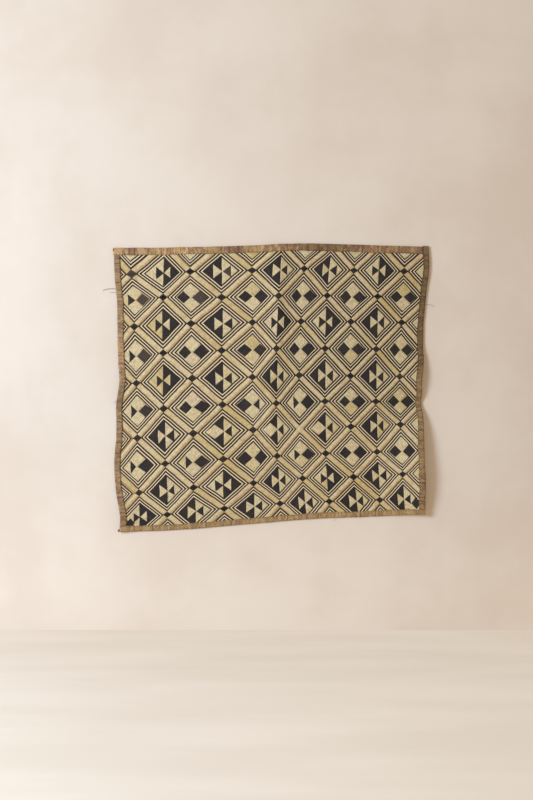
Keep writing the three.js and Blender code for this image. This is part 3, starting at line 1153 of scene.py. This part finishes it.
class Finish:
    """The nodes of one material, with a Principled shader as its surface."""

    def __init__(self, name, roughness=0.8, specular=0.3, sheen=0.0):
        self.material = bpy.data.materials.new(name)
        self.material.use_nodes = True
        self.tree = self.material.node_tree
        self.shader = self.tree.nodes["Principled BSDF"]
        self.shader.inputs["Roughness"].default_value = roughness
        self.shader.inputs["Specular IOR Level"].default_value = specular
        self.shader.inputs["Sheen Weight"].default_value = sheen

    def node(self, kind, settings, sockets):
        node = self.tree.nodes.new(kind)
        for key, value in settings.items():
            setattr(node, key, value)
        for key, value in sockets.items():
            if isinstance(value, Level):
                value = value.socket
            if isinstance(value, bpy.types.NodeSocket):
                self.tree.links.new(value, node.inputs[key])
            else:
                node.inputs[key].default_value = value
        return node

    def attribute(self, name):
        node = self.node("ShaderNodeAttribute", {"attribute_name": name}, {})
        return Level(self, node.outputs["Fac"])

    def stitch_map(self):
        """The stitches' own coordinates, in millimetres."""
        return self.node("ShaderNodeUVMap", {"uv_map": "stitches"}, {}).outputs["UV"]

    def place(self):
        """The place on the object, in metres."""
        return self.node("ShaderNodeTexCoord", {}, {}).outputs["Object"]

    def parts(self, vector):
        """The three numbers of a vector."""
        split = self.node("ShaderNodeSeparateXYZ", {}, {"Vector": vector})
        return [Level(self, output) for output in split.outputs]

    def stretched(self, vector, first, second):
        """A vector with its first two numbers scaled, for a pattern longer one way."""
        sockets = {0: vector, 1: (first, second, 1.0)}
        return self.node("ShaderNodeVectorMath", {"operation": "MULTIPLY"}, sockets).outputs[0]

    def noise(self, vector, scale, detail=2.0, roughness=0.5):
        sockets = {"Vector": vector, "Scale": scale, "Detail": detail, "Roughness": roughness}
        node = self.node("ShaderNodeTexNoise", {"noise_dimensions": "3D"}, sockets)
        return Level(self, node.outputs["Fac"])

    def streaks(self, vector, first, second, detail=2.0, roughness=0.5):
        """Noise over a stretched vector, for fibres that run one way."""
        return self.noise(self.stretched(vector, first, second), 1.0, detail, roughness)

    def tufts(self, vector, first, second):
        """Random tufts: the distance from each one's middle, and a random number each."""
        stretched = self.stretched(vector, first, second)
        node = self.node("ShaderNodeTexVoronoi", {}, {"Vector": stretched, "Scale": 1.0})
        split = self.node("ShaderNodeSeparateColor", {}, {"Color": node.outputs["Color"]})
        return Level(self, node.outputs["Distance"]), Level(self, split.outputs["Red"])

    def mix(self, share, first, second, blend="MIX"):
        node = self.node(
            "ShaderNodeMix",
            {"data_type": "RGBA", "blend_type": blend, "clamp_factor": True},
            {0: share, 6: first, 7: second},
        )
        return node.outputs[2]

    def shaded(self, colour, level):
        """A colour made darker or lighter by a number around 1."""
        grey = self.node("ShaderNodeCombineColor", {}, {"Red": level, "Green": level, "Blue": level})
        return self.mix(1.0, colour, grey.outputs["Color"], "MULTIPLY")

    def finish_with(self, colour, height, depth, strength=1.0, roughness=None):
        """Links the colour, the bump of that depth in metres, and a varying roughness."""
        self.tree.links.new(colour, self.shader.inputs["Base Color"])
        bump = self.node(
            "ShaderNodeBump", {}, {"Strength": strength, "Distance": depth, "Height": height}
        )
        self.tree.links.new(bump.outputs["Normal"], self.shader.inputs["Normal"])
        if roughness is not None:
            self.tree.links.new(roughness.socket, self.shader.inputs["Roughness"])
        return self.material


def rgb(red, green, blue):
    """A colour from 0 to 255 as it is seen, for a shader."""
    linear = []
    for value in (red, green, blue):
        share = value / 255
        linear.append(((share + 0.055) / 1.055) ** 2.4 if value > 10 else share / 12.92)
    return (*linear, 1.0)


def straw_shades(finish, tint, place):
    """The light raffia's colour before its fibres: cream, with golden and pinkish patches, and
    painted shade over the cloth's upper right.
    """
    cream = rgb(216, 203, 167)
    golden = rgb(203, 184, 130)
    pinkish = rgb(214, 196, 168)
    patch = finish.noise(place, 16.0, 2.0)
    warm = tint + (patch - 0.5) * 2.4
    colour = finish.mix(warm.step(0.1, 1.3), cream, golden)
    colour = finish.mix((warm * -1.0).step(0.5, 1.8), colour, pinkish)
    # Painted shade: the upper right of the cloth is painted darker, for the key light that falls off
    # there, and the right side below it is a little lighter
    x, _, z = finish.parts(place)
    right = x.step(-0.06, 0.16)
    upper = z.step(-0.46, -0.22)
    return finish.shaded(colour, 0.985 + right * 0.035 - right * upper * 0.12)


def light_pile_finish():
    finish = Finish("light_cut_pile", roughness=0.72, specular=0.25, sheen=0.15)
    vector = finish.stitch_map()
    tint = finish.attribute("tint")
    colour = straw_shades(finish, tint, finish.place())
    tuft, number = finish.tufts(vector, 0.5, 0.34)
    streak = finish.streaks(vector, 0.62, 0.16)
    colour = finish.shaded(colour, 0.42 + streak * 0.78 + number * 0.34 - tuft * 0.06)
    height = number * 0.4 + streak * 0.5 - tuft * 0.8
    return finish.finish_with(colour, height, 0.00035, 0.6)


def thread_twist(finish, vector):
    """The twist of the thread that a stitched line is made of, and its fine streaks."""
    u, v, _ = finish.parts(vector)
    twist = (u * 3.3 + v * 1.9).sine()
    return twist, finish.streaks(vector, 0.3, 0.5, 1.0)


def light_line_finish():
    finish = Finish("light_stitched_line", roughness=0.62, specular=0.35, sheen=0.1)
    vector = finish.stitch_map()
    tint = finish.attribute("tint")
    colour = straw_shades(finish, tint, finish.place())
    colour = finish.mix(0.3, colour, rgb(222, 208, 190))
    twist, streak = thread_twist(finish, vector)
    colour = finish.shaded(colour, 1.1 + streak * 0.24 + twist * 0.03)
    return finish.finish_with(colour, twist * 0.6 + streak, 0.0002, 0.35)


def band_finish():
    finish = Finish("light_hatched_band", roughness=0.66, specular=0.3, sheen=0.12)
    vector = finish.stitch_map()
    u = finish.parts(vector)[0]
    tint = finish.attribute("tint")
    side = finish.attribute("side")
    colour = straw_shades(finish, tint, finish.place())
    tan = rgb(184, 156, 112)
    wander = finish.streaks(vector, 0.16, 0.3) - 0.5
    # Partly painted shade: each band's lower side is mixed toward tan, most on the rising bands, for
    # the light that falls from the upper left, and partly the band's tan row of stitches
    rising = (tint * -1.0).step(-0.1, 0.1)
    lower = (side * -1.0 + wander * 1.8).step(0.0, 0.5)
    patch = finish.streaks(vector, 0.07, 0.12)
    colour = finish.mix(lower * (0.25 + rising * 0.5), colour, tan)
    colour = finish.mix(patch.step(0.5, 0.68) * 0.5, colour, tan)
    strand = finish.streaks(vector, 0.42, 0.14, 2.0, 0.6)
    rib = (u * 3.08).sine()
    colour = finish.shaded(colour, 0.52 + strand * 0.92 + rib * 0.03)
    return finish.finish_with(colour, strand + rib * 0.3, 0.0003, 0.5)


def dark_shades(finish, faded, place):
    """The dark raffia's colour before its fibres: black-brown, worn to grey-brown where faded."""
    black = rgb(38, 36, 40)
    umber = rgb(52, 46, 45)
    worn = rgb(76, 67, 64)
    patch = finish.noise(place, 60.0, 2.0)
    colour = finish.mix(patch.step(0.4, 0.75), black, umber)
    return finish.mix(faded.step(0.0, 1.0), colour, worn)


def dark_pile_finish():
    finish = Finish("dark_cut_pile", roughness=0.78, specular=0.22, sheen=0.1)
    vector = finish.stitch_map()
    faded = finish.attribute("tint")
    colour = dark_shades(finish, faded, finish.place())
    tuft, number = finish.tufts(vector, 0.6, 0.42)
    streak = finish.streaks(vector, 0.8, 0.2)
    speck = finish.streaks(vector, 0.7, 0.55, 1.0)
    colour = finish.mix(speck.step(0.52, 0.72) * 0.5, colour, rgb(92, 86, 80))
    colour = finish.shaded(colour, 0.42 + streak * 0.7 + number * 0.4)
    height = number * 0.4 + streak * 0.5 - tuft * 0.8
    return finish.finish_with(colour, height, 0.00035, 0.6)


def dark_line_finish():
    finish = Finish("dark_stitched_line", roughness=0.7, specular=0.28, sheen=0.1)
    vector = finish.stitch_map()
    tint = finish.attribute("tint")
    patch = finish.noise(finish.place(), 45.0, 2.0)
    red_brown = rgb(84, 54, 42)
    brown_black = rgb(30, 25, 27)
    colour = finish.mix((tint + (patch - 0.5)).step(0.1, 1.0), brown_black, red_brown)
    twist, streak = thread_twist(finish, vector)
    colour = finish.shaded(colour, 0.6 + streak * 0.5 + twist * 0.05)
    return finish.finish_with(colour, twist * 0.6 + streak, 0.0002, 0.35)


# How far apart the strands of the ground and of the strips are, in millimetres, and how close
# the lines on the ground's back are, as the turn of a wave from a diamond's centre to its seams
GROUND_STRANDS = 1.5
STRIP_STRANDS = 1.3
BACK_LINE_TURN = 52.0


def weave(u, v, pitch):
    """The height of a plain weave with its strands that far apart."""
    turn = math.pi / pitch
    over = (u * turn).sine() * (v * turn).sine()
    warp = (u * 2 * turn).sine()
    weft = (v * 2 * turn).sine()
    return over.above(0.0) * (warp - weft) + weft


def ground_finish():
    """The woven ground. Its back shows the stitches that come through, lattice and all."""
    finish = Finish("woven_ground", roughness=0.8, specular=0.25, sheen=0.1)
    vector = finish.stitch_map()
    u, v, _ = finish.parts(vector)
    a = u / PITCH
    b = v / PITCH
    along = ((a + b) * 0.5 + 0.5).fraction() - 0.5
    beside = ((a - b) * 0.5 + 0.5).fraction() - 0.5
    # A number that rises from 0 at a diamond's centre to 1 at its seams
    ring = along.size().at_least(beside.size()) * 2.0
    straw = rgb(204, 184, 138)
    deep = rgb(176, 152, 106)
    dark = rgb(62, 50, 42)
    patch = finish.noise(finish.place(), 24.0, 3.0)
    colour = finish.mix(patch.step(0.3, 0.7), straw, deep)
    lines = (ring * BACK_LINE_TURN).sine()
    speck = finish.streaks(vector, 0.9, 0.9, 1.0)
    shows = ring.step(0.5, 0.56) * (1.0 - ring.step(0.86, 0.9)) * lines.above(0.15)
    colour = finish.mix(shows * speck.step(0.42, 0.6) * 0.85, colour, dark)
    strands = weave(u, v, GROUND_STRANDS)
    streak = finish.streaks(vector, 0.2, 2.0)
    colour = finish.shaded(colour, 0.82 + streak * 0.3 + strands * 0.05)
    return finish.finish_with(colour, strands * 0.5 + streak, 0.0003, 0.8)


def strip_finish(
    side, light, olive, ruddy, deep, seam_depth=0.2, darker_from=None, marks=(), soft_spans=()
):
    """The strips' plain raffia cloth: patches of tan, olive and ruddy brown right across it,
    darker along its fold and its stitches, and darker all over past a place on the top strip.
    The marks are small brown patches, as (from, to, how strong), and the soft spans are long
    stretches made softly lighter or darker, as (middle, half length, how much lighter)."""
    finish = Finish("strip_cloth_" + side, roughness=0.78, specular=0.25, sheen=0.12)
    vector = finish.stitch_map()
    u, v, _ = finish.parts(vector)
    patch = finish.streaks(vector, 0.045, 0.02, 2.0, 0.6)
    other = finish.noise(finish.stretched(vector, 0.06, 0.03), 1.3, 2.0, 0.6)
    fleck = finish.streaks(vector, 0.4, 0.12)
    crease = finish.streaks(vector, 0.28, 0.03, 2.0, 0.6)
    # Past that place the top strip is darker all over
    worn = u.step(darker_from - 40, darker_from + 40) if darker_from else patch * 0.0
    colour = finish.mix(patch.step(0.44, 0.56), rgb(*light), rgb(*olive))
    colour = finish.mix((other + worn * 0.05).step(0.47, 0.6) * 0.9, colour, rgb(*ruddy))
    colour = finish.mix(fleck.step(0.46, 0.7) * 0.65, colour, rgb(*deep))
    colour = finish.mix(crease.step(0.56, 0.64) * 0.75, colour, rgb(*deep))
    colour = finish.shaded(colour, 1.03 + (patch - other) * 0.4)
    for first, last, share in marks:
        mark = u.step(first, first + 1.0) * (1.0 - u.step(last - 1.0, last))
        colour = finish.mix(mark * share, colour, rgb(104, 70, 64))
    strands = weave(u, v, STRIP_STRANDS)
    streak = finish.streaks(vector, 0.2, 0.9)
    flap = STRIP_WIDTHS[side] - FOLD_CENTRE
    arc = math.pi * FOLD_RADIUS
    fold = 1.0 - (v - (flap + arc / 2)).size().step(0.6, 3.0)
    seam = 1.0 - v.step(0.5, 2.6)
    shade = 0.84 + streak * 0.34 + strands * 0.05 - worn * 0.24 - fold * 0.06 - seam * seam_depth
    for middle, half, lighter in soft_spans:
        shade = shade + (1.0 - (u - middle).size().step(half * 0.4, half)) * lighter
    colour = finish.shaded(colour, shade)
    return finish.finish_with(colour, strands * 0.6 + streak, 0.0003, 0.7)


def thread_finish():
    finish = Finish("sewing_thread", roughness=0.65, specular=0.3)
    tint = finish.attribute("tint")
    colour = finish.mix(tint.step(-1.0, 1.0), rgb(74, 56, 42), rgb(128, 100, 70))
    twist = finish.noise(finish.place(), 2600.0, 2.0)
    colour = finish.shaded(colour, 0.7 + twist * 0.6)
    return finish.finish_with(colour, twist, 0.0002, 0.8)


ground = finished_piece("ground_cloth", ground_cloth(), ground_finish())
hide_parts("panel")

embroidery = [
    finished_piece("dark_lines", dark_lines(), dark_line_finish()),
    finished_piece("light_lines", light_lines(), light_line_finish()),
    finished_piece("hatched_bands", hatched_bands(), band_finish()),
    finished_piece("dark_pile", dark_pile(), dark_pile_finish()),
    finished_piece("light_pile", light_pile(), light_pile_finish()),
]

# The strips' shades: light, olive, ruddy and deep
STRIP_SHADES = {
    "top": ((202, 172, 132), (182, 156, 108), (160, 124, 98), (116, 84, 66)),
    "right": ((170, 144, 110), (152, 128, 90), (142, 114, 86), (100, 74, 56)),
    "bottom": ((192, 166, 126), (174, 148, 102), (166, 134, 102), (122, 94, 68)),
    "left": ((172, 146, 114), (154, 130, 98), (144, 116, 92), (104, 76, 60)),
}

# What else is on each strip, as strip_finish takes it
STRIP_MARKS = {
    "top": {
        "darker_from": 200,
        "marks": [(27, 41, 0.5), (39, 42.6, 0.85), (90, 93, 0.6), (165, 169, 0.6), (236, 240, 0.5)],
        "soft_spans": [(115, 45, 0.14), (290, 60, 0.2), (405, 60, -0.2), (495, 32, 0.16)],
    },
    "left": {
        "seam_depth": 0.42,
        "soft_spans": [(100, 60, 0.16), (208, 64, 0.38), (284, 30, -0.16), (475, 60, 0.14)],
    },
    "bottom": {"soft_spans": [(130, 120, -0.05), (480, 120, 0.06)]},
    "right": {"seam_depth": 0.32, "soft_spans": [(100, 230, -0.38)]},
}
STRIP_SEEDS = {"top": 60, "right": 65, "bottom": 70, "left": 75}

for side, shades in STRIP_SHADES.items():
    material = strip_finish(side, *shades, **STRIP_MARKS[side])
    mesh = strip_mesh(side, STRIP_SEEDS[side])
    strip = finished_piece("folded_strip_" + side, mesh, material)
    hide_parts("binding_" + side)

thread = thread_finish()
stitches = finished_piece("binding_stitches", binding_stitches(), thread)
fibres = finished_piece("loose_fibres", loose_fibres(), thread)


# The room, in metres: a plaster wall and a pale floor, both seen from the front only
WALL_Y = 0.0
FLOOR_Z = -0.745
ROOM_REACH = 4
FLOOR_DEPTH = 5


def one_sided(finish):
    """Makes a backdrop vanish when it is seen from behind."""
    behind = finish.node("ShaderNodeNewGeometry", {}, {}).outputs["Backfacing"]
    clear = finish.node("ShaderNodeBsdfTransparent", {}, {})
    blend = finish.node(
        "ShaderNodeMixShader", {}, {0: behind, 1: finish.shader.outputs[0], 2: clear.outputs[0]}
    )
    output = finish.tree.nodes["Material Output"]
    finish.tree.links.new(blend.outputs[0], output.inputs["Surface"])
    return finish.material


def backdrop(name, corner_low, corner_high, facing, material):
    """A flat sheet behind or below the cloth that throws no light or shadow on it."""
    bm = bmesh.new()
    bmesh.ops.create_grid(bm, x_segments=1, y_segments=1, size=1)
    size = [(high - low) / 2 for low, high in zip(corner_low, corner_high)]
    centre = [(high + low) / 2 for low, high in zip(corner_low, corner_high)]
    if facing == "front":
        upright = Matrix.Rotation(math.pi / 2, 3, "X")
        bmesh.ops.rotate(bm, verts=bm.verts, cent=(0, 0, 0), matrix=upright)
    bmesh.ops.scale(bm, verts=bm.verts, vec=[max(s, 1e-9) for s in size])
    bmesh.ops.translate(bm, verts=bm.verts, vec=centre)
    mesh = bpy.data.meshes.new(name)
    bm.to_mesh(mesh)
    bm.free()
    mesh.materials.append(material)
    sheet = bpy.data.objects.new(name, mesh)
    bpy.context.scene.collection.objects.link(sheet)
    sheet.visible_diffuse = False
    sheet.visible_shadow = False


def plaster_finish():
    finish = Finish("plaster_wall", roughness=0.95, specular=0.1)
    place = finish.place()
    cloud = finish.noise(place, 3.4, 4.0, 0.6)
    fine = finish.noise(place, 14.0, 4.0, 0.6)
    colour = finish.mix(cloud.step(0.34, 0.66), rgb(235, 229, 224), rgb(227, 218, 211))
    # Painted light: the foot of the wall is painted lighter, for the light that the floor throws up
    # on it
    z = finish.parts(place)[2]
    foot = 1.0 - z.step(-0.75, -0.3)
    colour = finish.shaded(colour, 0.985 + fine * 0.03 + foot * 0.11)
    finish.finish_with(colour, fine, 0.0006, 0.3)
    return one_sided(finish)


def floor_finish():
    finish = Finish("pale_floor", roughness=0.9, specular=0.1)
    finish.shader.inputs["Emission Color"].default_value = rgb(250, 240, 226)
    finish.shader.inputs["Emission Strength"].default_value = 0.17
    place = finish.place()
    cloud = finish.noise(finish.stretched(place, 1.0, 4.0), 2.5, 3.0, 0.5)
    colour = finish.mix(cloud.step(0.3, 0.7), rgb(238, 237, 238), rgb(230, 228, 226))
    finish.finish_with(colour, cloud, 0.0005, 0.2)
    return one_sided(finish)


backdrop(
    "wall",
    (-ROOM_REACH, WALL_Y, FLOOR_Z),
    (ROOM_REACH, WALL_Y, ROOM_REACH),
    "front",
    plaster_finish(),
)
backdrop(
    "floor",
    (-ROOM_REACH, -FLOOR_DEPTH, FLOOR_Z),
    (ROOM_REACH, WALL_Y, FLOOR_Z),
    "up",
    floor_finish(),
)

# The light: a soft key from the left, a little above, and a warm even fill
KEY_DISTANCE = 2.3
KEY_TURN = math.radians(47)
KEY_RISE = math.radians(9)
KEY_SIZE = 0.92
KEY_POWER = 39.5
KEY_COLOUR = (0.794, 0.9, 1.0)
FILL_COLOUR = (0.53, 0.413, 0.285, 1.0)
CLOTH_MIDDLE = Vector((0, 0, -0.27))

toward_key = Vector((
    -math.sin(KEY_TURN) * math.cos(KEY_RISE),
    -math.cos(KEY_TURN) * math.cos(KEY_RISE),
    math.sin(KEY_RISE),
))
key_light = bpy.data.lights.new("key", "AREA")
key_light.shape = "DISK"
key_light.size = KEY_SIZE
key_light.energy = KEY_POWER
key_light.color = KEY_COLOUR
key = bpy.data.objects.new("key", key_light)
key.location = CLOTH_MIDDLE + KEY_DISTANCE * toward_key
key.rotation_euler = toward_key.to_track_quat("Z", "Y").to_euler()
bpy.context.scene.collection.objects.link(key)

world = bpy.data.worlds.new("room")
world.use_nodes = True
world.node_tree.nodes["Background"].inputs["Color"].default_value = FILL_COLOUR
bpy.context.scene.world = world
bpy.context.scene.view_settings.view_transform = "Standard"

# The camera looks straight at the wall, its long side upright
CAMERA_PLACE = (-0.00965, -2.144, -0.301)

camera_data = bpy.data.cameras.new("camera")
camera_data.lens = 50
camera_data.sensor_fit = "VERTICAL"
camera_data.sensor_height = 36
camera = bpy.data.objects.new("camera", camera_data)
camera.location = CAMERA_PLACE
camera.rotation_euler = (math.radians(90), 0, 0)
bpy.context.scene.collection.objects.link(camera)
bpy.context.scene.camera = camera
